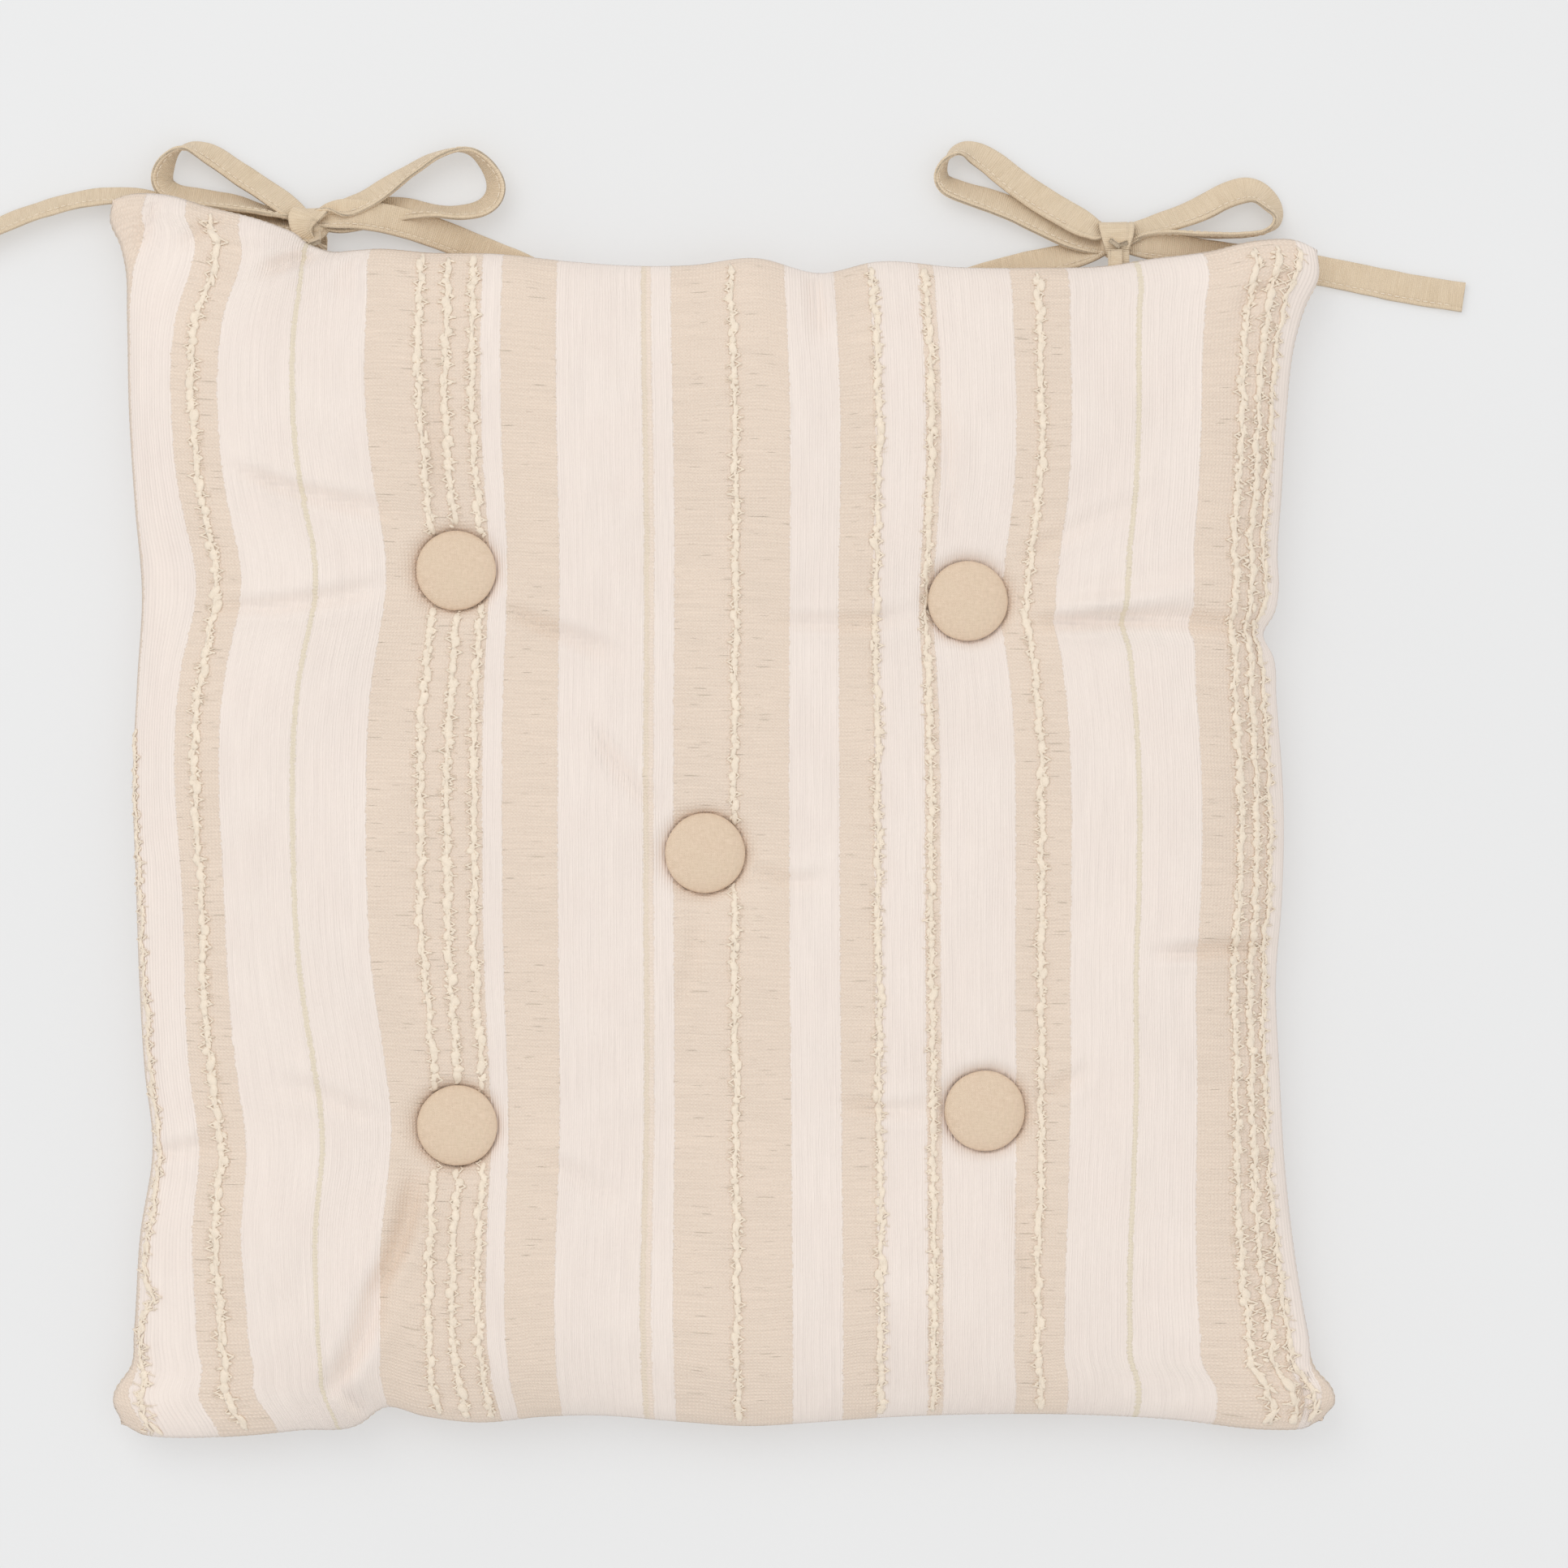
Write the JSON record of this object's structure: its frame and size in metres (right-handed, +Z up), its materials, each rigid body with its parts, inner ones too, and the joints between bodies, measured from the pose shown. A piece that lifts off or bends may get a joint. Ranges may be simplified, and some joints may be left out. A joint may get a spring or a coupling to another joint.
{
  "type": "chair seat pad",
  "caption": "Square tufted seat pad in striped woven cloth, with fabric-covered buttons and a tied bow near each back corner.",
  "frame": {"origin": "middle of the face that the pad rests on", "axes": "+Z up through the pad's thickness, +Y to the back edge where the ties are sewn in, +X to the right as seen from the front"},
  "size_m": [0.5302, 0.4473, 0.04],
  "materials": {
    "striped_cloth": "woven cotton, cream with beige stripes and raised fringe yarns",
    "fibre": "loose polyester fibre",
    "thread": "sewing thread",
    "tape_cloth": "plain beige cotton, folded and topstitched",
    "button_cloth": "plain beige cotton, fine weave",
    "shell_metal": "pressed sheet",
    "plate_metal": "pressed sheet",
    "wire": "drawn wire",
    "twine": "waxed tufting twine",
    "backing_plastic": "moulded, matt"
  },
  "bodies": {
    "root": {"top_panel": "striped_cloth", "bottom_panel": "striped_cloth", "fibre_filling": "fibre", "seam_thread": "thread", "left_tie_tab": "tape_cloth", "right_tie_tab": "tape_cloth"},
    "tuft_back_left": {"button_cover_back_left": "button_cloth", "button_shell_back_left": "shell_metal", "button_plate_back_left": "plate_metal", "wire_eye_back_left": "wire", "twine_back_left": "twine", "backing_button_back_left": "backing_plastic"},
    "tuft_back_right": {"button_cover_back_right": "button_cloth", "button_shell_back_right": "shell_metal", "button_plate_back_right": "plate_metal", "wire_eye_back_right": "wire", "twine_back_right": "twine", "backing_button_back_right": "backing_plastic"},
    "tuft_centre": {"button_cover_centre": "button_cloth", "button_shell_centre": "shell_metal", "button_plate_centre": "plate_metal", "wire_eye_centre": "wire", "twine_centre": "twine", "backing_button_centre": "backing_plastic"},
    "tuft_front_left": {"button_cover_front_left": "button_cloth", "button_shell_front_left": "shell_metal", "button_plate_front_left": "plate_metal", "wire_eye_front_left": "wire", "twine_front_left": "twine", "backing_button_front_left": "backing_plastic"},
    "tuft_front_right": {"button_cover_front_right": "button_cloth", "button_shell_front_right": "shell_metal", "button_plate_front_right": "plate_metal", "wire_eye_front_right": "wire", "twine_front_right": "twine", "backing_button_front_right": "backing_plastic"},
    "left_bow": {"left_knot": "tape_cloth", "left_tie_stem": "tape_cloth", "left_outer_loop": "tape_cloth", "left_inner_loop": "tape_cloth", "left_outer_tail": "tape_cloth", "left_inner_tail": "tape_cloth"},
    "right_bow": {"right_knot": "tape_cloth", "right_tie_stem": "tape_cloth", "right_outer_loop": "tape_cloth", "right_inner_loop": "tape_cloth", "right_outer_tail": "tape_cloth", "right_inner_tail": "tape_cloth"}
  },
  "joints": [
    {"name": "swivel_back_left", "type": "hinge", "parent": "root", "child": "tuft_back_left", "pos_m": [-0.0885, 0.0905, 0.0278], "axis": [0, 0, 1], "range_deg": [-45, 45]},
    {"name": "swivel_back_right", "type": "hinge", "parent": "root", "child": "tuft_back_right", "pos_m": [0.087, 0.08, 0.0278], "axis": [0, 0, 1], "range_deg": [-45, 45]},
    {"name": "swivel_centre", "type": "hinge", "parent": "root", "child": "tuft_centre", "pos_m": [-0.003, -0.0065, 0.0278], "axis": [0, 0, 1], "range_deg": [-45, 45]},
    {"name": "swivel_front_left", "type": "hinge", "parent": "root", "child": "tuft_front_left", "pos_m": [-0.0875, -0.0995, 0.0278], "axis": [0, 0, 1], "range_deg": [-45, 45]},
    {"name": "swivel_front_right", "type": "hinge", "parent": "root", "child": "tuft_front_right", "pos_m": [0.0925, -0.0945, 0.0278], "axis": [0, 0, 1], "range_deg": [-45, 45]},
    {"name": "left_bow_lift", "type": "hinge", "parent": "root", "child": "left_bow", "pos_m": [-0.14, 0.20514, 0.016], "axis": [1, 0, 0], "range_deg": [0, 90]},
    {"name": "right_bow_lift", "type": "hinge", "parent": "root", "child": "right_bow", "pos_m": [0.14, 0.20514, 0.016], "axis": [1, 0, 0], "range_deg": [0, 90]}
  ]
}
